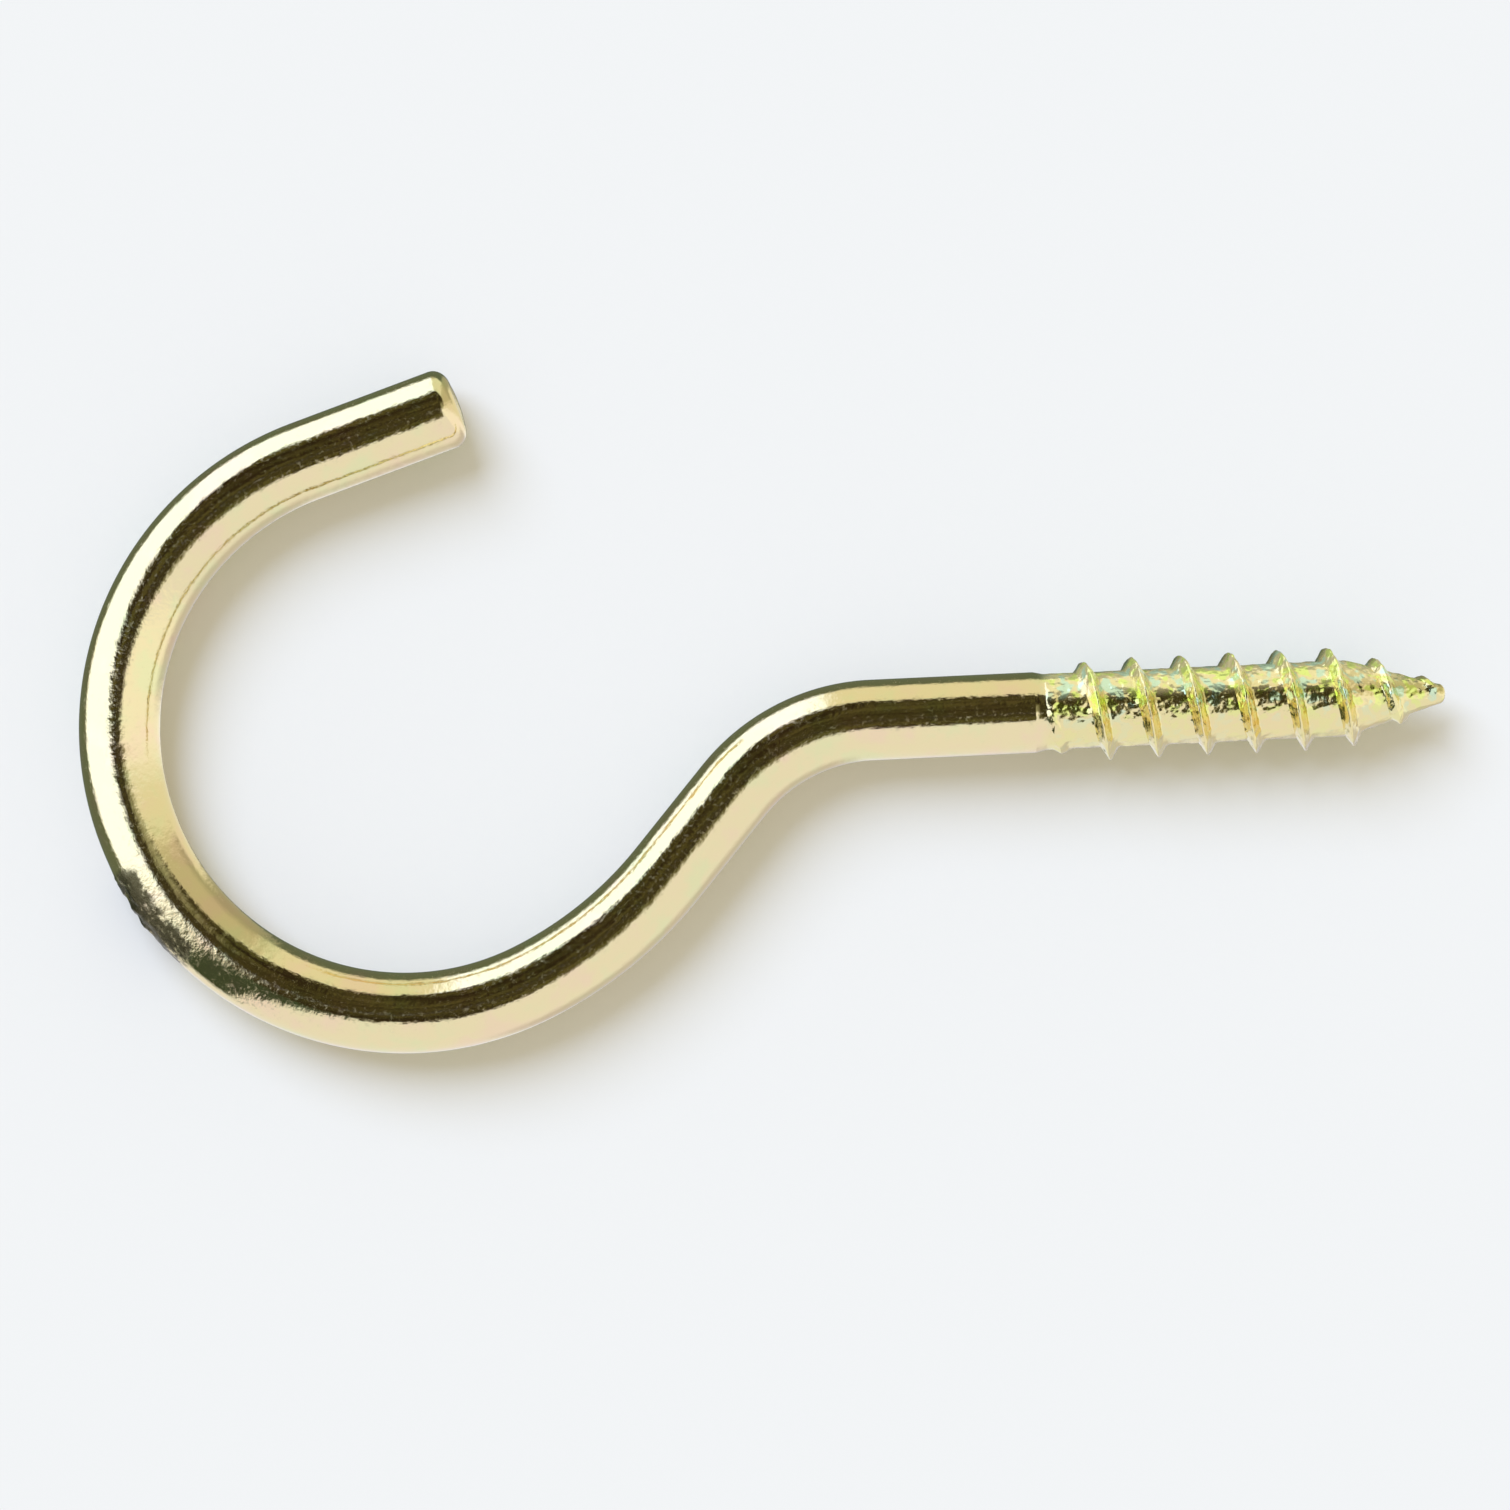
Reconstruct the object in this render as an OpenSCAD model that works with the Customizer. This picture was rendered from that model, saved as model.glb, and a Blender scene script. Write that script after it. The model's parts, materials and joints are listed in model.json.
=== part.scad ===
// Screw hook: one length of round wire, bent into an open hook at one end, with a rolled wood
// thread and a gimlet point at the other. It has no collar.
// Frame: the hook lies flat. +X is the screw's axis and points to the tip, +Z is up, and the
// origin is on that axis where the thread starts.

/* [Wire] */
// Diameter of the wire
wire_d = 3.6; // [3:0.1:4.4]
// Straight plain shank between the first bend and the thread
shank_len = 7.6; // [4:0.2:14]

/* [Bends, radii on the wire's centre line] */
// Radius of the first bend, next to the shank
neck_r = 8.3; // [5:0.1:12]
// Angle of the first bend
neck_turn = 48.7; // [35:0.1:60]
// Straight run between the first bend and the throat
neck_run = 4.7; // [2:0.1:8]
// Radius of the easy curve that leads into the main bend
throat_r = 18; // [16:0.5:24]
// Angle of the easy curve
throat_turn = 24.7; // [10:0.1:35]
// Radius of the main bend
eye_r = 12.6; // [9:0.1:15]
// Angle of the main bend
eye_turn = 186.1; // [170:0.1:200]
// Straight run at the free end
lip_run = 7.3; // [3:0.1:9]
// Radius of the tumbled edge of the free end
lip_edge = 0.8; // [0.2:0.05:1.2]

/* [Screw thread] */
// Length of the thread with its point
thread_len = 17.8; // [12:0.2:26]
// Length of the gimlet point
point_len = 4.4; // [3:0.1:6]
// Radius of the blunt tip
tip_r = 0.25; // [0.1:0.05:0.6]
// Height of the crests above the wire's surface
crest_rise = 0.5; // [0.2:0.05:0.9]
// Depth of the rolled core below the wire's surface
core_cut = 0.12; // [0.04:0.02:0.5]
// Pitch of the single right-hand thread
pitch = 2.16; // [1.8:0.02:2.6]
// Width of the ridge at its foot
ridge_foot = 1.1; // [0.8:0.05:1.4]
// Width of the flat on the crest
ridge_crest = 0.16; // [0.1:0.02:0.3]
// Distance of the first crest from the shank, on the side that faces +Y
first_crest = 1.8; // [1:0.05:3]

/* [Hidden] */
$fn = 64;

wire_r = wire_d / 2;
// A bend draws the wire a little thinner, the more so the tighter it is.
bend_thinning = 0.01;
function bent_wire_r(bend_r) = wire_r * (1 - bend_thinning * wire_d / bend_r);

core_r = wire_r - core_cut;
ridge_h = core_cut + crest_rise;
run_out = pitch;                       // the ridge grows to its full height over this length
cone_start = thread_len - point_len;

// The threaded end is one mesh: its columns run along the axis and its rows follow the helix.
columns = 36;
column_angle = 360 / columns;
// Across the ridge: foot, the crest's two edges, foot
ridge_along = [0, (ridge_foot - ridge_crest) / 2, (ridge_foot + ridge_crest) / 2, ridge_foot];
ridge_share = [0, 1, 1, 0];
ridge_rows = len(ridge_along);
sunk = 1;                              // length of the core that lies inside the shank
first_turn = -sunk - 2 * pitch;
turns = ceil((thread_len - first_turn) / pitch) + 2;
rows = turns * ridge_rows;
turn_offset = 360 * (first_crest - ridge_foot / 2 - first_turn) / pitch;

// Core radius and ridge height at a place along the axis
function core_at(x) = core_r - max(0, x - cone_start) * (core_r - tip_r) / point_len;
function ridge_at(x) =
    ridge_h * max(0, min(1, x / run_out)) * max(0, min(1, (thread_len - x) / point_len));
// Place of a row along the axis, held between the two ends of the mesh
function along(column, row) =
    let (turn = floor(row / ridge_rows), x = first_turn + (turn + column / columns) * pitch)
    max(-sunk, min(thread_len, x + ridge_along[row % ridge_rows]));
function thread_point(column, row) =
    let (x = along(column, row),
         r = core_at(x) + ridge_share[row % ridge_rows] * ridge_at(x),
         a = column * column_angle - turn_offset)
    [x, r * cos(a), r * sin(a)];
// The last column meets the first one a turn further on.
function index(column, row) =
    column < columns ? column * rows + row : min(rows - 1, row + ridge_rows);
function apart(column, row) = along(column, row) != along(column, row + 1);
// Two triangles between two columns, less any that an end has squeezed flat
function cell(c, r) = [
    if (apart(c, r)) [index(c, r), index(c, r + 1), index(c + 1, r)],
    if (apart(c + 1, r)) [index(c, r + 1), index(c + 1, r + 1), index(c + 1, r)]];

module threaded_end() {
    points = [for (c = [0:columns - 1]) for (r = [0:rows - 1]) thread_point(c, r)];
    side = [for (c = [0:columns - 1]) for (r = [0:rows - 2]) each cell(c, r)];
    sunk_face = [for (c = [0:columns - 1]) index(c, 0)];
    tip_face = [for (c = [columns - 1:-1:0]) index(c, rows - 1)];
    polyhedron(points = points, faces = concat(side, [sunk_face, tip_face]), convexity = 10);
}

// The wire is bent as on a former: each run starts where the last one ended, heading along +X.
// The seam of every round surface lies along the top, so that neighbouring runs line up.
module straight(run) {
    rotate([0, -90, 180]) cylinder(r = wire_r, h = run);
    translate([run, 0, 0]) children();
}

// A bend to the left, or to the right where the angle is negative
module bend(bend_r, turn) {
    side = sign(turn);
    translate([0, side * bend_r, 0]) rotate([0, 0, -90 * side]) {
        rotate_extrude(angle = turn)
            translate([bend_r, 0]) rotate(90) circle(r = bent_wire_r(bend_r));
        rotate([0, 0, turn]) translate([bend_r, 0, 0]) rotate([0, 0, 90 * side]) children();
    }
}

module cropped_end() {
    rotate([0, 90, 0]) rotate_extrude() {
        square([wire_r - lip_edge, lip_edge]);
        intersection() {
            translate([wire_r - lip_edge, 0]) circle(r = lip_edge);
            square([wire_r, lip_edge]);
        }
    }
}

module hook() {
    color("goldenrod") {
        rotate([0, 0, 180])
            straight(shank_len)
            bend(neck_r, neck_turn)
            straight(neck_run)
            bend(throat_r, -throat_turn)
            bend(eye_r, -eye_turn)
            straight(lip_run - lip_edge)
            cropped_end();
        threaded_end();
    }
}

hook();
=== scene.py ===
# %% [markdown]
# # A screw hook of bright yellow wire
# One length of round steel wire, cropped, thread-rolled, bent and plated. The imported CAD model
# fixes its size and place. This lesson builds the same wire again at a finer resolution, so that
# it can carry a near-mirror finish, then lights it and looks straight down on it.

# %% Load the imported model
import json
import math

import bmesh
import bpy
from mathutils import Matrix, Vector


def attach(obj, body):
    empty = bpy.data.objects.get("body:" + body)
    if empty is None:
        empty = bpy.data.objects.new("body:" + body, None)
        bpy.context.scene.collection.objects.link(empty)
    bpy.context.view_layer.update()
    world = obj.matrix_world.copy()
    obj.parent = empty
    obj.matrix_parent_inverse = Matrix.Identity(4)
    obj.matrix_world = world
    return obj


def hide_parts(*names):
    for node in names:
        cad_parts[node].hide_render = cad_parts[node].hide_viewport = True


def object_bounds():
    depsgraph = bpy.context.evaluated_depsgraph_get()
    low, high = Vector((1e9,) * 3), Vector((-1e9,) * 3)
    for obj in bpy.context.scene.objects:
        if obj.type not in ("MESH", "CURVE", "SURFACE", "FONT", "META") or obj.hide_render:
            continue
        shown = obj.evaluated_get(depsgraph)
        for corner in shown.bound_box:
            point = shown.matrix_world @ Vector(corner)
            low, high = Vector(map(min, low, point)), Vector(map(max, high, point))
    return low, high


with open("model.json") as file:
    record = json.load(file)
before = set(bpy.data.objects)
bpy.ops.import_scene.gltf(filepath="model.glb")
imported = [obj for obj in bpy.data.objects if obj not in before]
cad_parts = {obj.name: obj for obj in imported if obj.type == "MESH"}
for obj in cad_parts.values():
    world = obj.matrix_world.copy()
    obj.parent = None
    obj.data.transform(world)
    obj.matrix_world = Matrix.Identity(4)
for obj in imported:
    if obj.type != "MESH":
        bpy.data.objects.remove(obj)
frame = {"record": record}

MM = 0.001
cad_low, cad_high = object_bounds()
print("CAD box, mm:", [round(v / MM, 2) for v in (*cad_low, *cad_high)])

# %% [markdown]
# ## Sizes
# The mounts in the record say how big the hook is: the free end gives the radius of the wire, and
# the thread gives its length, the radius of its crests and the axis of the screw. Reading them
# there keeps this script in step with the model. The visible skin is a hair smaller, so that
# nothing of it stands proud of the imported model.

# %% Sizes from the record, in metres
mounts = {m["name"]: m for m in frame["record"]["mounts"]}
WIRE_R = mounts["free_end"]["dims"]["r_mm"] * MM
CREST_R = mounts["screw_thread"]["dims"]["r_mm"] * MM
THREAD_LEN = mounts["screw_thread"]["dims"]["length_mm"] * MM
AXIS_START = Vector(mounts["screw_thread"]["pos_m"])
SHAVE = 0.018 * MM
SKIN_R = WIRE_R - SHAVE
print("wire %.2f mm, thread %.1f mm long" % (2 * WIRE_R / MM, THREAD_LEN / MM))

# %% [markdown]
# ## Helpers for edit mode
# An operator acts on whatever is selected, so every step starts from an empty selection and then
# picks its edges by their place. Lengths here are fractions of a millimetre, far below the
# operators' usual merge distances, so every threshold is given.

# %% Edit-mode helpers
NEAR = 0.002 * MM


def only(obj):
    """Leaves edit mode and makes obj the one selected and active object."""
    if bpy.context.object and bpy.context.object.mode != "OBJECT":
        bpy.ops.object.mode_set(mode="OBJECT")
    bpy.ops.object.select_all(action="DESELECT")
    obj.select_set(True)
    bpy.context.view_layer.objects.active = obj


def edit(obj):
    """Goes into edit mode on obj, on its edges, with nothing selected."""
    only(obj)
    bpy.ops.object.mode_set(mode="EDIT")
    bpy.ops.mesh.select_mode(type="EDGE")
    bpy.ops.mesh.select_all(action="DESELECT")


def select_edges(obj, wanted):
    """In edit mode, selects the edges that pass the test and nothing else, and counts them."""
    bpy.ops.mesh.select_all(action="DESELECT")
    mesh = bmesh.from_edit_mesh(obj.data)
    for e in mesh.edges:
        e.select_set(wanted(e))
    bmesh.update_edit_mesh(obj.data)
    return sum(e.select for e in mesh.edges)


def push_ring(step, centre, share):
    """Extrudes the selected ring by a step, then shrinks it to a share of its size."""
    bpy.ops.mesh.extrude_region_move(TRANSFORM_OT_translate={"value": step})
    bpy.ops.transform.resize(value=(share, share, share), center_override=centre)


print("points within", round(NEAR / MM, 4), "mm count as one place")

# %% [markdown]
# ## The bent wire
# A wire hook is bent on a bench: a straight run, a turn round a pin, the next run. The same is
# done here. A circle with the wire's section starts at the shoulder of the thread. Extrude draws
# a straight run of it and Spin makes a bend, and each starts where the last one ended. A curve
# with a round bevel would be quicker, but this way each ring of the wire is known, so the place
# of every point on the straight wire can be stored for the drawing lines of the finish.

# %% A pen that walks along the wire
AROUND = 80
RUN_STEP = 0.3 * MM
BEND_STEP = math.radians(1)
UP = Vector((0, 0, 1))


class Pen:
    """Where the open ring of the wire is now, which way it heads, and how far it has come."""

    def __init__(self, place, heading):
        self.place, self.heading = place.copy(), heading.copy()
        self.marks = [(-place.x, SKIN_R)]

    def mark(self, length, ring_r=SKIN_R):
        """Notes how far along the wire the newest ring is, and its radius."""
        self.marks.append((self.marks[-1][0] + length, ring_r))

    def straight(self, length, steps=None):
        """Draws a straight run."""
        steps = steps or max(1, round(length / RUN_STEP))
        for _ in range(steps):
            step = self.heading * (length / steps)
            bpy.ops.mesh.extrude_region_move(TRANSFORM_OT_translate={"value": step})
            self.place += step
            self.mark(length / steps)

    def bend(self, radius, turn):
        """Makes a bend, to the left where the turn is positive."""
        side = UP.cross(self.heading) * math.copysign(radius, turn)
        centre = self.place + side
        steps = round(abs(turn) / BEND_STEP)
        # Spin counts its angle clockwise as seen from the tip of its axis.
        bpy.ops.mesh.spin(steps=steps, dupli=False, angle=-turn, center=centre, axis=UP)
        for _ in range(steps):
            self.mark(radius * abs(turn) / steps)
        c, s = math.cos(turn), math.sin(turn)
        self.place = centre + Vector((s * side.y - c * side.x, -s * side.x - c * side.y, 0))
        h = self.heading
        self.heading = Vector((c * h.x - s * h.y, s * h.x + c * h.y, 0))


print("a ring has", AROUND, "points, and a bend has a ring for every degree")

# %% [markdown]
# ## Runs and bends
# The hook has an offset neck, so that what hangs on it lies in line with the screw: one bend to
# the left out of the shank, a short run, an easy curve back, and the long main bend. A bend is
# given as on a drawing, by the radius of the wire's centre line and the angle it turns through.

# %% Sizes of the runs and bends
SHANK_LEN = 7.6 * MM
NECK_R, NECK_TURN = 8.3 * MM, math.radians(48.7)
NECK_RUN = 4.7 * MM
THROAT_R, THROAT_TURN = 18 * MM, math.radians(24.7)
EYE_R, EYE_TURN = 12.6 * MM, math.radians(186.1)
LIP_EDGE = 0.8 * MM
LIP_RUN = 7.3 * MM - LIP_EDGE
SHOULDER = 0.4 * MM
EDGE_STEP = 0.05 * MM
END_TURN = EYE_TURN + THROAT_TURN - NECK_TURN
print("the free end heads %.1f degrees away from the shank" % math.degrees(END_TURN))

# %% Bend the wire
bpy.ops.object.select_all(action="DESELECT")
shoulder_place = AXIS_START - Vector((SHOULDER, 0, 0))
bpy.ops.mesh.primitive_circle_add(vertices=AROUND, radius=SKIN_R, location=shoulder_place,
                                  rotation=(0, math.pi / 2, 0))
hook = bpy.context.object
hook.name = hook.data.name = "bent_wire"
bpy.ops.object.transform_apply(location=True, rotation=True, scale=True)
edit(hook)
bpy.ops.mesh.select_all(action="SELECT")
pen = Pen(shoulder_place, Vector((-1, 0, 0)))
pen.straight(EDGE_STEP, 1)
pen.straight(SHANK_LEN - SHOULDER - EDGE_STEP)
pen.bend(NECK_R, NECK_TURN)
pen.straight(NECK_RUN)
pen.bend(THROAT_R, -THROAT_TURN)
pen.bend(EYE_R, -EYE_TURN)
pen.straight(LIP_RUN)
print("rings:", len(pen.marks), "wire so far, mm:", round(pen.marks[-1][0] / MM, 1))
print("heading:", [round(v, 4) for v in pen.heading], "in the record:", mounts["free_end"]["axis"])

# %% [markdown]
# ## The free end
# The wire is cropped and then tumbled, which rounds the edge of the cut and leaves its face a
# little domed. Bevel would round the edge but leave the face flat. Instead the last ring is pushed
# on and shrunk in small steps, first round a quarter circle and then over the shallow dome, and
# what is left of it is merged into one point.

# %% Outline of the free end
EDGE_STEPS = 10
FACE_STEPS = 5
DOME = 0.08 * MM
FACE_R = SKIN_R - LIP_EDGE

outline = []
for i in range(EDGE_STEPS):
    turned = (i + 1) * math.pi / 2 / EDGE_STEPS
    outline.append((FACE_R + LIP_EDGE * math.cos(turned), (LIP_EDGE - DOME) * math.sin(turned)))
for i in range(FACE_STEPS):
    share = 1 - (i + 1) / FACE_STEPS
    outline.append((max(FACE_R * share, NEAR), LIP_EDGE - DOME * share ** 2))
print("radius and depth, mm:", [(round(r / MM, 2), round(d / MM, 2)) for r, d in outline[::5]])

# %% Round the free end
ring_r, depth = SKIN_R, 0.0
for next_r, next_depth in outline:
    step = pen.heading * (next_depth - depth)
    pen.place += step
    push_ring(step, pen.place, next_r / ring_r)
    pen.mark(math.hypot(next_r - ring_r, next_depth - depth), next_r)
    ring_r, depth = next_r, next_depth
bpy.ops.mesh.merge(type="CENTER")
bpy.ops.object.mode_set(mode="OBJECT")
print("closed end at", [round(v / MM, 2) for v in pen.place], "points", len(hook.data.vertices))

# %% [markdown]
# ## Where each point lay on the straight wire
# Drawing lines run along the wire and follow it round each bend. A pattern on the object's own
# coordinates would run straight on through the bends. So the place of every point before the
# bending is kept as an attribute, and the finish reads its patterns there.

# %% Store the place on the straight wire
def store_unbent(obj, places):
    """Keeps each point's place on the straight wire, in metres, with the mesh."""
    spot = obj.data.attributes.new("unbent", "FLOAT_VECTOR", "POINT")
    spot.data.foreach_set("vector", [v for place in places for v in place])


places = []
for i in range(len(hook.data.vertices)):
    back, ring_r = pen.marks[i // AROUND]
    turned = 2 * math.pi * (i % AROUND) / AROUND
    places.append((-back, ring_r * math.cos(turned), ring_r * math.sin(turned)))
store_unbent(hook, places)
print("the straight wire is", round(pen.marks[-1][0] / MM, 1), "mm long behind the thread")

# %% [markdown]
# ## The rolled thread
# Rolling squeezes the wire between two dies: the root is pressed a little below the wire's surface
# and the metal rises as a narrow sharp ridge. It could be raised on a cylinder by a texture, but
# its crest would be ragged. Here the outline of one pitch is drawn as a line beside the axis and
# the Screw modifier winds it, so the rows of the mesh follow the ridge and its crest stays crisp.

# %% Sizes of the thread
PITCH = 2.16 * MM
CORE_R = WIRE_R - 0.12 * MM
FIRST_CREST = 1.8 * MM
RIDGE_FOOT, RIDGE_CREST = 0.74 * MM, 0.08 * MM
CREST_TRIM = 0.06 * MM  # room for the waviness that is added to the crest at the end
RIDGE_H = CREST_R - CORE_R - CREST_TRIM
FLANK = (RIDGE_FOOT - RIDGE_CREST) / 2
ROOT_W = PITCH - RIDGE_FOOT
CREST_ROUND, ROOT_ROUND = 0.03 * MM, 0.12 * MM
WOUND_FROM = FIRST_CREST - RIDGE_FOOT / 2 - 2 * PITCH
print("the ridge is %.2f mm high and %.2f mm wide" % (RIDGE_H / MM, RIDGE_FOOT / MM))

# %% Draw the outline of one pitch
def select_points(obj, wanted):
    """In edit mode, selects the points that pass the test, and nothing else."""
    bpy.ops.mesh.select_all(action="DESELECT")
    mesh = bmesh.from_edit_mesh(obj.data)
    for v in mesh.verts:
        v.select_set(wanted(v.co))
    bmesh.update_edit_mesh(obj.data)


def between_ends(co):
    return WOUND_FROM + NEAR < co.x < WOUND_FROM + PITCH - NEAR


bpy.ops.object.select_all(action="DESELECT")
bpy.ops.mesh.primitive_plane_add(size=PITCH, location=(WOUND_FROM, CORE_R, 0))
thread = bpy.context.object
thread.name = thread.data.name = "thread"
bpy.ops.object.transform_apply(location=True, rotation=True, scale=True)
edit(thread)
bpy.ops.mesh.select_mode(type="VERT")
bpy.ops.mesh.select_all(action="SELECT")
bpy.ops.mesh.merge(type="CENTER")
for along, out in ((FLANK, RIDGE_H), (RIDGE_CREST, 0), (FLANK, -RIDGE_H), (ROOT_W, 0)):
    bpy.ops.mesh.extrude_vertices_move(TRANSFORM_OT_translate={"value": (along, out, 0)})
select_points(thread, lambda co: between_ends(co) and co.y > CORE_R + NEAR)
bpy.ops.mesh.bevel(offset=CREST_ROUND, segments=3, affect="VERTICES")
select_points(thread, lambda co: between_ends(co) and co.y < CORE_R + NEAR)
bpy.ops.mesh.bevel(offset=ROOT_ROUND, segments=4, affect="VERTICES")
print("outline points:", len(bmesh.from_edit_mesh(thread.data).verts))

# %% Cut the long lines of the outline
LONG_LINE = 0.25 * MM

bpy.ops.mesh.select_mode(type="EDGE")
print("long lines:", select_edges(thread, lambda e: e.calc_length() > LONG_LINE))
bpy.ops.mesh.subdivide(number_cuts=4)
bpy.ops.object.mode_set(mode="OBJECT")
print("outline points:", len(thread.data.vertices))

# %% Wind it round the axis
WINDS = math.ceil((THREAD_LEN - WOUND_FROM) / PITCH) + 1
WIND_STEPS = 96

only(thread)
wind = thread.modifiers.new("wind", "SCREW")
wind.axis = "X"
wind.angle = 2 * math.pi
wind.screw_offset = PITCH
wind.iterations = WINDS
wind.steps = wind.render_steps = WIND_STEPS
bpy.ops.object.modifier_apply(modifier="wind")
edit(thread)
bpy.ops.mesh.select_all(action="SELECT")
bpy.ops.mesh.remove_doubles(threshold=NEAR / 4)
print("wound", WINDS, "times:", len(bmesh.from_edit_mesh(thread.data).verts), "points")

# %% [markdown]
# ## The run-out and the gimlet point
# The ridge grows out of the wire over its first turn. At the other end the wire is nipped to a
# point, and the ridge thins out along it, so that the screw starts in soft wood by itself. The
# wound mesh is cut square at both ends by Bisect, and then each point moves along its own radius.
# A taper of the whole mesh would shrink ridge and core alike, but the ridge comes down to nothing
# at the tip and the core does not.

# %% Cut both ends square
TIP_ROUND = 0.3 * MM
THREAD_FROM = 0.04 * MM

for place, keep in ((THREAD_FROM, "clear_inner"), (THREAD_LEN - TIP_ROUND, "clear_outer")):
    bpy.ops.mesh.select_all(action="SELECT")
    bpy.ops.mesh.bisect(plane_co=(place, 0, 0), plane_no=(1, 0, 0), threshold=NEAR / 10, **{keep: True})
bpy.ops.object.mode_set(mode="OBJECT")
print("thread from", THREAD_FROM / MM, "mm:", len(thread.data.vertices), "points")

# %% Draw the point out
POINT_LEN = 4.4 * MM
TIP_R = 0.36 * MM
CONE_FROM = THREAD_LEN - POINT_LEN
RIDGE_END = 0.75  # below 1, the ridge keeps its height for longer along the point


def core_at(x):
    return CORE_R - max(0, x - CONE_FROM) * (CORE_R - TIP_R) / POINT_LEN


def ridge_share_at(x):
    return min(1, (x - THREAD_FROM) / PITCH) * min(1, (THREAD_LEN - x) / POINT_LEN) ** RIDGE_END


for v in thread.data.vertices:
    now = math.hypot(v.co.y, v.co.z)
    wanted = core_at(v.co.x) + (now - CORE_R) * ridge_share_at(v.co.x)
    v.co.y *= wanted / now
    v.co.z *= wanted / now
print("the cone starts at %.1f mm and ends %.2f mm thick" % (CONE_FROM / MM, 2 * TIP_R / MM))

# %% Close the tip
TIP_STEPS = 5
LAST_SHARE = 0.01  # the last ring is not quite a point, so that it can be merged into one

edit(thread)
print("tip ring edges:", select_edges(thread, lambda e: e.is_boundary and e.verts[0].co.x > CONE_FROM))
for i in range(TIP_STEPS):
    a, b = (k * math.pi / 2 / TIP_STEPS for k in (i, i + 1))
    step = Vector((TIP_ROUND * (math.sin(b) - math.sin(a)), 0, 0))
    centre = (THREAD_LEN - TIP_ROUND + TIP_ROUND * math.sin(b), 0, 0)
    push_ring(step, centre, max(math.cos(b), LAST_SHARE) / math.cos(a))
bpy.ops.mesh.merge(type="CENTER")
bpy.ops.object.mode_set(mode="OBJECT")
store_unbent(thread, [tuple(v.co) for v in thread.data.vertices])
print("the tip is at %.2f mm" % (max(v.co.x for v in thread.data.vertices) / MM))

# %% [markdown]
# ## One wire
# The thread and the bent wire are one length of metal. Their meshes are joined, and Bridge closes
# the two open rings with the short sloping shoulder that the dies leave. A Boolean union would
# join them too, but it would need them to overlap and would break up the rows of the mesh.

# %% Join and bridge
only(hook)
thread.select_set(True)
bpy.ops.object.join()
edit(hook)
print("open edges:", select_edges(hook, lambda e: e.is_boundary))
bpy.ops.mesh.bridge_edge_loops()
print("open edges left:", select_edges(hook, lambda e: e.is_boundary or not e.is_manifold))
bpy.ops.mesh.select_all(action="SELECT")
bpy.ops.mesh.normals_make_consistent(inside=False)
bpy.ops.object.mode_set(mode="OBJECT")

# %% [markdown]
# ## Small unevenness
# Dies and pins leave the surface a little wavy, most of all in the rolled part, and this hook has
# one rough bruise on the outside of the main bend. It could be sculpted, but a Displace modifier
# with a cloud texture does the same every time. Two vertex groups say where it acts, and it moves
# the surface there by a few hundredths of a millimetre.

# %% Displace a part of the surface
def smooth(low, high, value):
    """0 at low, 1 at high, and a smooth step between them."""
    t = min(1, max(0, (value - low) / (high - low)))
    return t * t * (3 - 2 * t)


def uneven(group_name, weigh, cloud_size, height, middle):
    """Displaces the hook where weigh(place on the straight wire) is above zero."""
    group = hook.vertex_groups.new(name=group_name)
    for i, spot in enumerate(hook.data.attributes["unbent"].data):
        weight = weigh(spot.vector)
        if weight > 0:
            group.add([i], weight, "REPLACE")
    cloud = bpy.data.textures.new(group_name, "CLOUDS")
    cloud.noise_scale = cloud_size
    cloud.noise_depth = 2
    move = hook.modifiers.new(group_name, "DISPLACE")
    move.texture, move.texture_coords = cloud, "LOCAL"
    move.vertex_group = group_name
    move.strength, move.mid_level = height, middle
    before = [v.co.copy() for v in hook.data.vertices]
    only(hook)
    bpy.ops.object.modifier_apply(modifier=group_name)
    most = max((v.co - was).length for v, was in zip(hook.data.vertices, before))
    print(group_name, "moves the surface by up to %.3f mm" % (most / MM))


# %% Waves in the thread, and the bruise
BRUISE_AT = -45.2 * MM
BRUISE_LEN = 2.6 * MM
FADE_IN, FADE_OUT = 0.5 * MM, 0.8 * MM


def in_thread(p):
    return smooth(0.0, FADE_IN, p.x) * smooth(THREAD_LEN, THREAD_LEN - FADE_OUT, p.x)


def in_bruise(p):
    outside = smooth(0.6, 0.95, -p.y / WIRE_R)
    return smooth(BRUISE_LEN, 0.3 * BRUISE_LEN, abs(p.x - BRUISE_AT)) * outside


uneven("rolled", in_thread, cloud_size=0.4 * MM, height=0.11 * MM, middle=0.55)
uneven("bruise", in_bruise, cloud_size=0.35 * MM, height=0.3 * MM, middle=0.4)

# %% Triangles and smooth shading
CREASE = math.radians(50)

edit(hook)
bpy.ops.mesh.select_all(action="SELECT")
bpy.ops.mesh.quads_convert_to_tris(quad_method="BEAUTY", ngon_method="BEAUTY")
bpy.ops.object.mode_set(mode="OBJECT")
bpy.ops.object.shade_smooth_by_angle(angle=CREASE)
print("triangles:", len(hook.data.polygons))

# %% [markdown]
# ## Shader sums as plain expressions
# The finish is worked out with node maths. Laid out by hand it would be a screenful of boxes. A
# small class wraps a socket instead, so that 1 - mask or mask * 0.3 adds its Math node by itself,
# and one method adds any other node.

# %% Socket arithmetic
def feed(tree, slot, value):
    """Links a value to a node's input, or writes the number or colour on it."""
    if isinstance(value, Value):
        tree.links.new(value.socket, slot)
    else:
        slot.default_value = value


def both_ways(operation):
    """An operator and its reflected form, so that mask - 1 and 1 - mask both work."""
    return (lambda self, other: self.maths(operation, self, other),
            lambda self, other: self.maths(operation, other, self))


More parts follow.
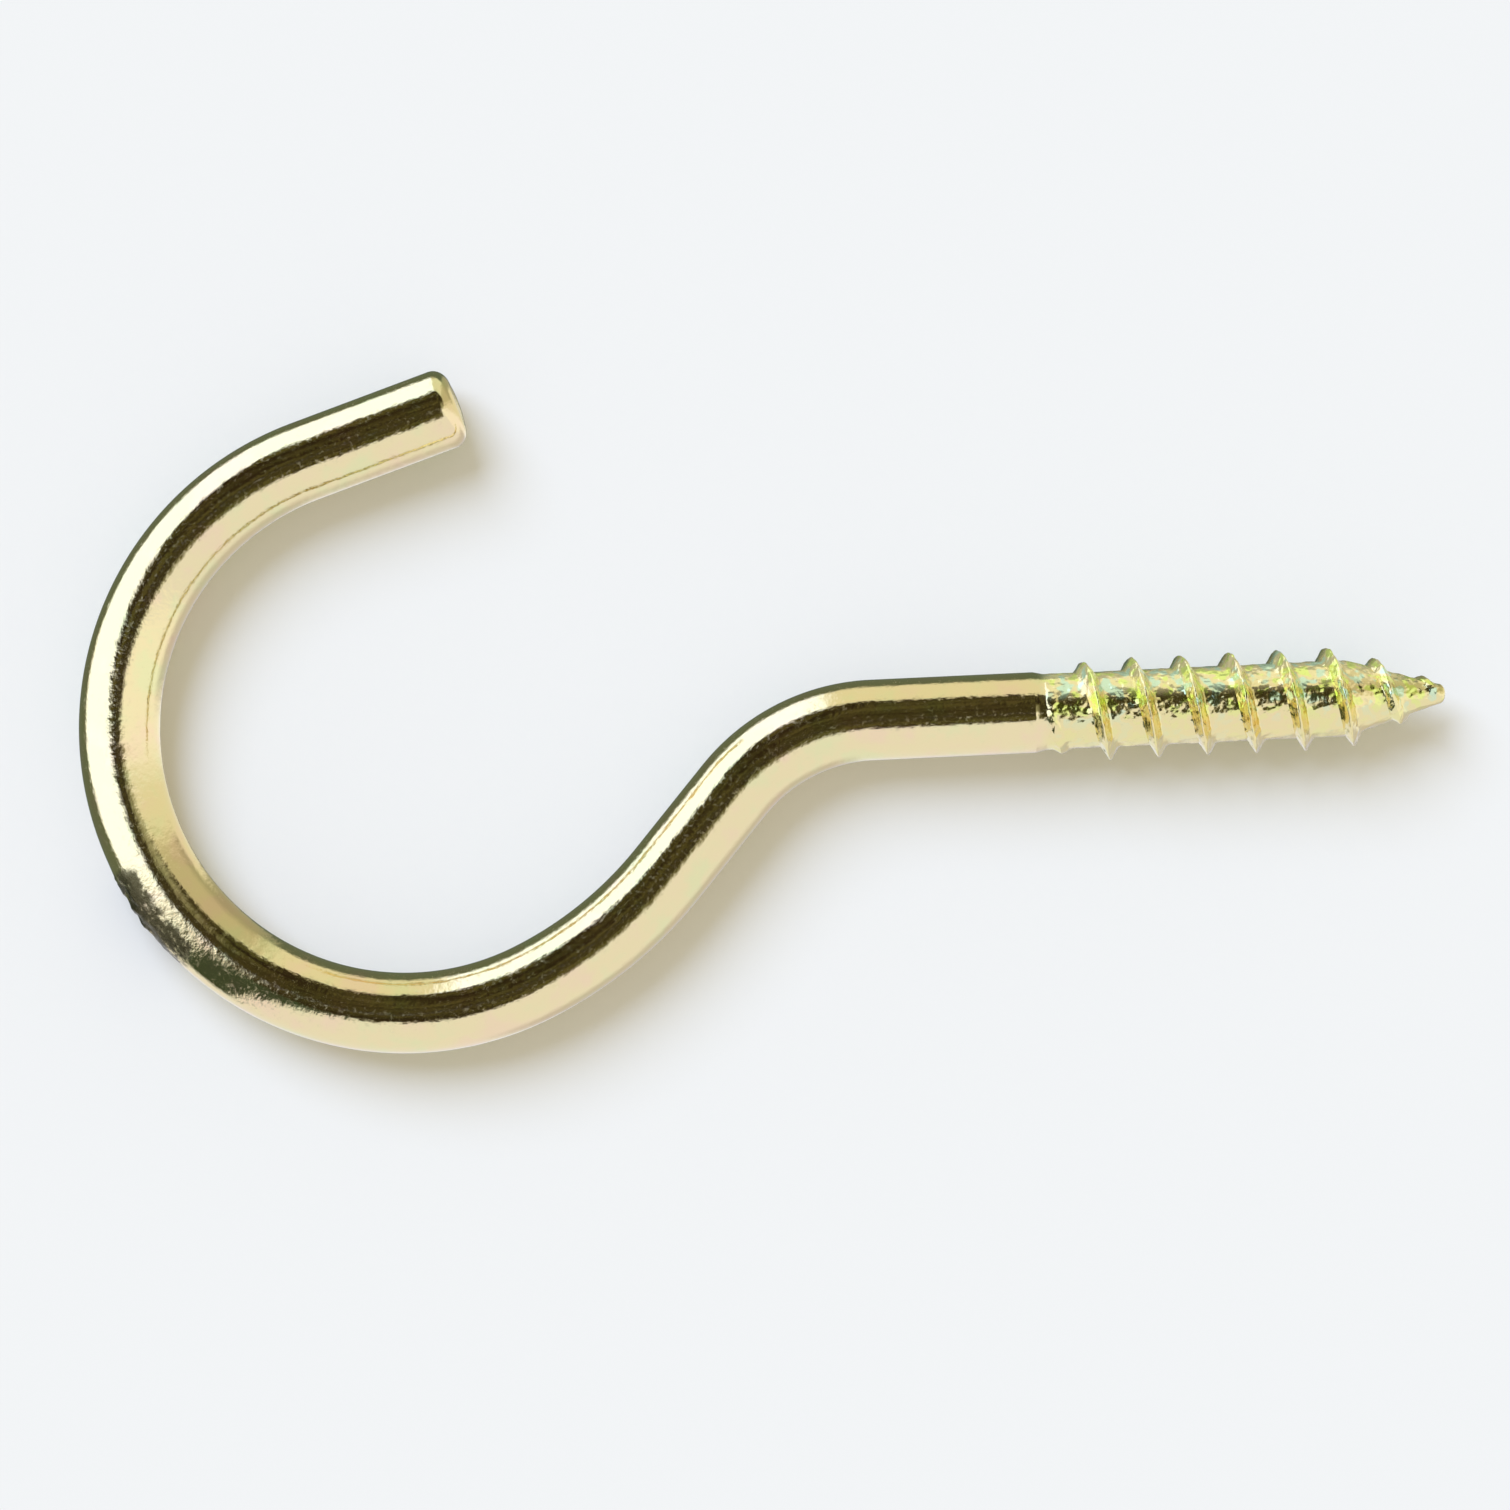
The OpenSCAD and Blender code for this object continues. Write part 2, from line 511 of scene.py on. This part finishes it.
class Value:
    """A number on a shader socket. Sums with it add Math nodes."""

    def __init__(self, socket):
        self.socket = socket

    def maths(self, operation, *values):
        node = self.socket.id_data.nodes.new("ShaderNodeMath")
        node.operation = operation
        for slot, value in zip(node.inputs, values):
            feed(self.socket.id_data, slot, value)
        return Value(node.outputs[0])

    def __abs__(self):
        return self.maths("ABSOLUTE", self)

    __add__, __radd__ = both_ways("ADD")
    __sub__, __rsub__ = both_ways("SUBTRACT")
    __mul__, __rmul__ = both_ways("MULTIPLY")
    __truediv__, __rtruediv__ = both_ways("DIVIDE")
    __pow__, __rpow__ = both_ways("POWER")


# %% A node tree that is filled one node at a time
class Nodes:
    """Adds nodes to a tree that starts empty."""

    def __init__(self, tree):
        self.tree = tree
        tree.nodes.clear()

    def add(self, kind, settings=None, inputs=None, out=0):
        """Adds a node: its settings first, then its inputs, and gives one of its outputs."""
        node = self.tree.nodes.new("ShaderNode" + kind)
        for name, value in (settings or {}).items():
            setattr(node, name, value)
        for name, value in (inputs or {}).items():
            feed(self.tree, node.inputs[name], value)
        return Value(node.outputs[out])

    def maths(self, operation, *values):
        """A Math node that has no sign of its own, such as the larger of two numbers."""
        return values[0].maths(operation, *values)

    def split(self, vector):
        """The three numbers of a vector."""
        self.add("SeparateXYZ", {}, {0: vector})
        return [Value(out) for out in self.tree.nodes[-1].outputs]

    def rise(self, value, low, high):
        """0 at low, 1 at high, and a smooth step between them."""
        return self.add("MapRange", {"interpolation_type": "SMOOTHSTEP"},
                        {"Value": value, "From Min": low, "From Max": high})

    def around(self, value, middle, inside, outside):
        """1 where the value is within inside of the middle, and 0 where it is past outside."""
        return 1 - self.rise(abs(value - middle), inside, outside)

    def blend(self, share, first, second):
        """A mix of two colours."""
        return self.add("Mix", {"data_type": "RGBA"}, {0: share, 6: first, 7: second}, out=2)

    def noise(self, place, scale, detail, rough=0.5):
        """Soft random patches, finer where the scale is larger."""
        return self.add("TexNoise", {}, {"Vector": place, "Scale": scale, "Detail": detail,
                                         "Roughness": rough})

    def finish(self, kind, shader):
        """Sends the shader to the material's or the world's output."""
        end = self.tree.nodes.new("ShaderNodeOutput" + kind)
        self.tree.links.new(shader.socket, end.inputs["Surface"])
        print(self.tree.name, "has", len(self.tree.nodes), "nodes")


# %% [markdown]
# ## The plating
# Bright yellow plating is a mirror of pale gold. All of its patterns are read on the straight
# wire, in millimetres: along it, across it from side to side, and up. The first masks say where
# the finish differs: the rolled thread, the bruise on the outside of the main bend, where the
# film is rubbed off in patches, and a longer scuffed stretch round it. They could be painted on
# an image, but masks made of places and noise stay sharp at any distance.

# %% Where the finish differs
RUB_AT, SCUFF_AT = -44.6, -43.0

plating = bpy.data.materials.new("yellow_plating")
plating.use_nodes = True
skin = Nodes(plating.node_tree)
metres = skin.add("Attribute", {"attribute_name": "unbent"}, out=1)
place = skin.add("VectorMath", {"operation": "SCALE"}, {0: metres, "Scale": 1 / MM})
along, across, up = skin.split(place)

rolled = skin.rise(along, -0.3, 0.5)  # the thread, from its shoulder on
bruise = skin.around(along, RUB_AT, 1.8, 3.0) * skin.rise(across, -0.25, -0.8)
scuffed = skin.around(along, SCUFF_AT, 2.5, 6.0) * skin.rise(across, 1.0, -0.3)
rubbed = skin.rise(skin.noise(place, 1.8, 4.0, 0.65) + bruise * 0.5, 0.80, 1.0) * bruise
print("the bruise is", -RUB_AT, "mm from the start of the thread")

# %% [markdown]
# ## The colours of the film
# The film is so thin that it shows faint green and pink where its thickness changes, most of all
# in the rolled thread, where it is thicker and flecked with lime and mint. The colours could be
# worked out from the thickness, but a few golds blended by soft noise are easier to steer. The
# flecks are strongest on the +Y side of the thread, and on the upper part of that side the film
# is milky, so the metal counts for less there.

# %% Blend the golds
PALE_GOLD, ROLLED_GOLD = (0.92, 0.77, 0.42, 1), (0.90, 0.77, 0.33, 1)
GREENISH, PINKISH = (0.76, 0.84, 0.42, 1), (0.96, 0.69, 0.47, 1)
LIME, MINT = (0.82, 0.93, 0.22, 1), (0.60, 0.86, 0.62, 1)
RUBBED_BROWN = (0.085, 0.07, 0.028, 1)

film = skin.noise(place, 0.55, 3.0)
speck = skin.noise(place, 1.6, 1.5)
flecked = rolled * (0.15 + skin.rise(across, -0.9, 0.3) * 0.85)
milky = rolled * skin.rise(across, 0.35, 1.0) * skin.rise(up, -0.5, 0.7)

colour = skin.blend(skin.rise(film, 0.50, 0.70) * 0.4, PALE_GOLD, GREENISH)
colour = skin.blend(skin.rise(film, 0.50, 0.30) * 0.5, colour, PINKISH)
colour = skin.blend(rolled * 0.5, colour, ROLLED_GOLD)
colour = skin.blend(flecked * skin.rise(speck, 0.52, 0.60) * 0.85, colour, LIME)
colour = skin.blend(flecked * skin.rise(speck, 0.45, 0.37) * 0.75, colour, MINT)
colour = skin.blend(rubbed * 0.95, colour, RUBBED_BROWN)
print("nodes so far:", len(skin.tree.nodes))

# %% [markdown]
# ## Drawing lines, pits and gloss
# Under the film lie the drawing lines of the wire, too shallow to see as grooves but enough to
# make every reflection's edge ragged, and shallow pits that are deeper in the bruise and in the
# thread. They are far finer than the mesh, so they are a bump and not a shape. The lines are
# noise that is stretched eightfold along the wire.

# %% Fine relief
STRETCH = (0.12, 1.0, 1.0)
RELIEF = 0.006 * MM  # one unit of the depths below
LINE_DEPTH, PEEL_DEPTH, PIT_DEPTH, DENT_DEPTH = 0.6, 2.2, 0.6, 16.0

drawn = skin.add("VectorMath", {"operation": "MULTIPLY"}, {0: place, 1: STRETCH})
lines = skin.noise(drawn, 7.0, 3.0, 0.6)
peel = skin.noise(place, 2.2, 2.0)
pits = skin.noise(place, 6.0, 3.0, 0.6)
dents = skin.noise(place, 2.8, 1.0)
pit_depth = PIT_DEPTH + scuffed * 0.7 + bruise * 3.0 + flecked * 2.0
height = lines * LINE_DEPTH + peel * PEEL_DEPTH + pits * pit_depth + dents * flecked * DENT_DEPTH
relief = skin.add("Bump", {}, {"Strength": 1.0, "Distance": RELIEF, "Height": height})
print("the dents are up to %.2f mm deep" % (DENT_DEPTH * RELIEF / MM))

# %% Gloss, and the finish on the hook
SHINE = 0.07
MILKY_SHARE = 0.42

grain = skin.noise(place, 4.5, 2.0, 0.6)
dull_lines = skin.rise(lines, 0.45, 0.8) * 0.06
dull_grain = skin.rise(grain, 0.52, 0.7) * 0.16
rough = SHINE + dull_lines + dull_grain + rubbed * 0.2 + rolled * 0.03
skin.finish("Material", skin.add("BsdfPrincipled", {}, {
    "Base Color": colour,
    "Metallic": 1 - milky * MILKY_SHARE,
    "Roughness": rough,
    "Normal": relief}))
hook.data.materials.clear()
hook.data.materials.append(plating)
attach(hook, "root")
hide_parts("hook")

# %% [markdown]
# ## The floor
# At rest the hook leans on the crests near the point and on the far side of the bend. The hook
# stays where the CAD has it, so it is the floor that slopes: a plane through those two places.
# Mirror rays pass it by and see the dome of the room below it, where the light on the lower half
# of the wire can be chosen.

# %% Floor
FLOOR_SIZE = 1.2
FLOOR_GAP = 0.02 * MM
CREST_BACK = 0.9 * MM  # the last full crest is this far behind the start of the cone

crest_at = (CONE_FROM - CREST_BACK, -CREST_R)
bend_at = (cad_low[0] + WIRE_R, -WIRE_R)
slope = (crest_at[1] - bend_at[1]) / (crest_at[0] - bend_at[0])
level = bend_at[1] - slope * bend_at[0]
bpy.ops.object.select_all(action="DESELECT")
bpy.ops.mesh.primitive_plane_add(size=FLOOR_SIZE, location=(0, 0, level - FLOOR_GAP),
                                 rotation=(0, -math.atan(slope), 0))
floor = bpy.context.object
floor.name = "floor"
floor.visible_glossy = False
print("floor slope, degrees:", round(math.degrees(math.atan(slope)), 2))

# %% Matt paper on the floor
PAPER = (0.82, 0.82, 0.82, 1)

paper = bpy.data.materials.new("pale_floor")
paper.use_nodes = True
sheet = Nodes(paper.node_tree)
sheet.finish("Material", sheet.add("BsdfPrincipled", {}, {
    "Base Color": PAPER, "Roughness": 0.9, "Specular IOR Level": 0.0}))
floor.data.materials.append(paper)

# %% [markdown]
# ## The room
# A bright metal is a picture of its room, and what it mirrors makes it look like metal. The room
# could be built of planes and lamps, but a dome that is painted in the world's nodes renders
# with less noise. A place on it is given in degrees from straight above, and a compass direction
# counts from the right of the view towards its top.

# %% Directions in the room
SLANT = math.radians(2.65)  # the hook lies at this slant to the room and to the camera
DEGREES = math.degrees(1)
TINY = 0.000001  # keeps the divisions below away from zero straight above

room = bpy.data.worlds.new("room")
bpy.context.scene.world = room
room.use_nodes = True
dome = Nodes(room.node_tree)
aim = dome.add("VectorRotate", {"rotation_type": "Z_AXIS"},
               {"Vector": dome.add("TexCoord"), "Angle": SLANT})
x, y, z = dome.split(aim)
flat = (x * x + y * y + TINY) ** 0.5
down = dome.maths("ARCTAN2", flat, z) * DEGREES
right = down * x / flat
back = down * y / flat


def toward(azimuth):
    """1 where the room is looked at in this direction on the compass, 0 at right angles to it."""
    turned = math.radians(azimuth)
    return (x * math.cos(turned) + y * math.sin(turned)) / flat


print("the room is turned by %.2f degrees" % math.degrees(SLANT))

# %% [markdown]
# ## Walls, window and shade
# The walls are pale, cooler at the front and dimmer on the side towards the back right, with a
# strip of light low down. A long soft window fills the left side. Its lower edge curves, and
# under it the room is in shade, which draws the dark line that gives bright metal its shape. A
# faint shade low at the front right does the same on the other side of the wire.

# %% Pale walls
FRONT_WALL, BACK_WALL = (0.87, 0.90, 1.02, 1), (0.82, 0.82, 0.71, 1)
RIGHT_WALL, RIGHT_AT = (1.0, 1.03, 1.08, 1), 350
DIM, DIM_LOW, DIM_AT = (0.56, 0.54, 0.41, 1), (0.40, 0.40, 0.30, 1), 45
UNLIT_AT = 60

walls = dome.blend(dome.rise(back, 20.0, -20.0), BACK_WALL, FRONT_WALL)
walls = dome.blend(dome.rise(toward(RIGHT_AT), 0.9, 0.98), walls, RIGHT_WALL)
dim = dome.blend(dome.rise(down, 85.0, 115.0), DIM, DIM_LOW)
lit_edge = dome.rise(down, 108.0, 126.0) * (1 - dome.rise(toward(UNLIT_AT), 0.93, 0.97))
glow = dome.blend(dome.rise(toward(DIM_AT), 0.93, 0.98) * (1 - lit_edge), walls, dim)
print("nodes so far:", len(dome.tree.nodes))

# %% The window
WINDOW, WINDOW_AT = (1.28, 1.48, 1.95, 1), 156.5
LOWEST, LOWEST_AT = 122.0, 112  # where the window's lower edge comes down furthest
EDGE_CURVE = 0.0042

off_lowest = dome.maths("ARCTAN2", toward(LOWEST_AT + 90), toward(LOWEST_AT)) * DEGREES
window_end = LOWEST - off_lowest ** 2.0 * EDGE_CURVE
window = dome.rise(toward(WINDOW_AT), 0.56, 0.66) * (1 - dome.rise(down - window_end, -7.0, 3.0))
glow = dome.blend(window, glow, WINDOW)
print("the window glows in", WINDOW[:3])

# %% Shade under the window and at the front right
SHADE, SHADE_AT = (0.13, 0.16, 0.12, 1), 137
SHADE_TOP = 110.0  # the shade starts no lower than this
LOW_SHADE, LOW_SHADE_AT = (0.62, 0.61, 0.66, 1), 318

shade_from = dome.maths("MINIMUM", window_end, SHADE_TOP)
shade = dome.rise(toward(SHADE_AT), 0.15, 0.35) * dome.rise(down - shade_from, -5.0, 5.0)
glow = dome.blend(shade, glow, SHADE)
low_shade = dome.rise(toward(LOW_SHADE_AT), 0.75, 0.9) * dome.rise(down, 106.0, 132.0)
glow = dome.blend(low_shade, glow, LOW_SHADE)
print("nodes so far:", len(dome.tree.nodes))

# %% [markdown]
# ## The dark corner and the dark overhead
# Straight above hangs a large mottled dark shape, which is the dark band along the top of the
# wire, and there is a narrow dark corner at the front left. Without them the wire would be one
# even bright gold and look like plastic. The shape is two soft ovals, paler on its right.

# %% The dark corner
CORNER, CORNER_AT = (0.05, 0.07, 0.045, 1), 229

off_corner = down * toward(CORNER_AT + 90)
corner = dome.rise(toward(CORNER_AT + 80), -0.03, 0.05) * (1 - dome.rise(off_corner, 8.0, 11.0))
corner = corner * dome.rise(toward(CORNER_AT), 0.0, 0.2) * (1 - dome.rise(down, 108.0, 122.0))
glow = dome.blend(corner, glow, CORNER)
print("nodes so far:", len(dome.tree.nodes))

# %% The dark overhead
DARK, DARK_FLECK = (0.028, 0.021, 0.012, 1), (0.10, 0.095, 0.04, 1)
DARK_PALE = (0.36, 0.37, 0.27, 1)


def blot(place, half, soft):
    """1 inside an oval on the dome. Its place and half widths are degrees from straight above."""
    spread = ((right - place[0]) / half[0]) ** 2.0 + ((back - place[1]) / half[1]) ** 2.0
    return 1 - dome.rise(spread, 1 - soft, 1 + soft)


wide = blot(place=(-4.0, 26.0), half=(35.0, 29.0), soft=0.14)
small = blot(place=(0.0, -13.0), half=(15.0, 13.0), soft=0.3)
overhead = dome.maths("MAXIMUM", wide, small)
mottle = dome.noise(aim, 7.0, 4.0, 0.65)
dark = dome.blend(dome.rise(mottle, 0.42, 0.66), DARK, DARK_FLECK)
dark = dome.blend(dome.rise(right, 5.0, 20.0) * (1 - dome.rise(back, 12.0, 24.0)), dark, DARK_PALE)
glow = dome.blend(overhead, glow, dark)
print("nodes so far:", len(dome.tree.nodes))

# %% [markdown]
# ## What each ray sees
# Mirror rays see the painted dome. The floor gets one even light instead, because the window
# would light it unevenly, and the camera sees a plain pale backdrop past the floor's edge.

# %% The room's three faces
FILL = (0.68, 0.625, 0.48, 1)
BACKDROP = (0.888, 0.905, 0.913, 1)

rays = dome.tree.nodes.new("ShaderNodeLightPath").outputs
seen = dome.blend(Value(rays["Is Diffuse Ray"]), glow, FILL)
seen = dome.blend(Value(rays["Is Camera Ray"]), seen, BACKDROP)
dome.finish("World", dome.add("Background", {}, {"Color": seen, "Strength": 1.0}))
room.cycles.sampling_method = "NONE"

# %% [markdown]
# ## The sun
# One wide sun at the upper left casts the soft shadow. It is a little blue and the even light a
# little yellow: together they make the floor white, and the shadow is left warm. An area lamp
# would do as well, but a sun lights every part of the floor alike. It is hidden from mirror rays,
# so that it puts no spot on the metal.

# %% The sun
SUN_FROM = Vector((-0.56, 0.78, 1.0))
SUN_POWER = 2.85
SUN_COLOUR = (0.63, 0.75, 1.0)
SUN_WIDTH = math.radians(40)

sun = bpy.data.lights.new("soft_sun", "SUN")
sun.energy, sun.color, sun.angle = SUN_POWER, SUN_COLOUR, SUN_WIDTH
lamp = bpy.data.objects.new("soft_sun", sun)
bpy.context.scene.collection.objects.link(lamp)
lamp.rotation_euler = SUN_FROM.to_track_quat("Z", "Y").to_euler()
lamp.visible_glossy = False
print("the sun stands %.0f degrees high" % (90 - math.degrees(SUN_FROM.angle(UP))))

# %% [markdown]
# ## Camera
# It looks straight down with a long lens, so that the wire keeps one width all along, and is
# turned by a few degrees so that the hook lies at the slant it was laid down at. It aims a little
# to the front of the hook's middle, so the hook lies a little above the middle of the view.

# %% Camera
DISTANCE = 0.2
SENSOR = 36  # millimetres, as lenses are counted
FRAME_WIDTH = 66.8 * MM
AIM_OFF = (-0.4 * MM, -2.58 * MM)

middle = [(a + b) / 2 for a, b in zip(cad_low, cad_high)]
lens = bpy.data.cameras.new("camera")
lens.sensor_width = SENSOR
lens.lens = SENSOR * DISTANCE / FRAME_WIDTH
lens.clip_start = 0.01
camera = bpy.data.objects.new("camera", lens)
bpy.context.scene.collection.objects.link(camera)
camera.location = (middle[0] + AIM_OFF[0], middle[1] + AIM_OFF[1], DISTANCE)
camera.rotation_euler = (0, 0, -SLANT)
bpy.context.scene.camera = camera
bpy.context.scene.view_settings.view_transform = "Standard"
print("lens %.0f mm, the view is %.1f mm wide" % (lens.lens, FRAME_WIDTH / MM))
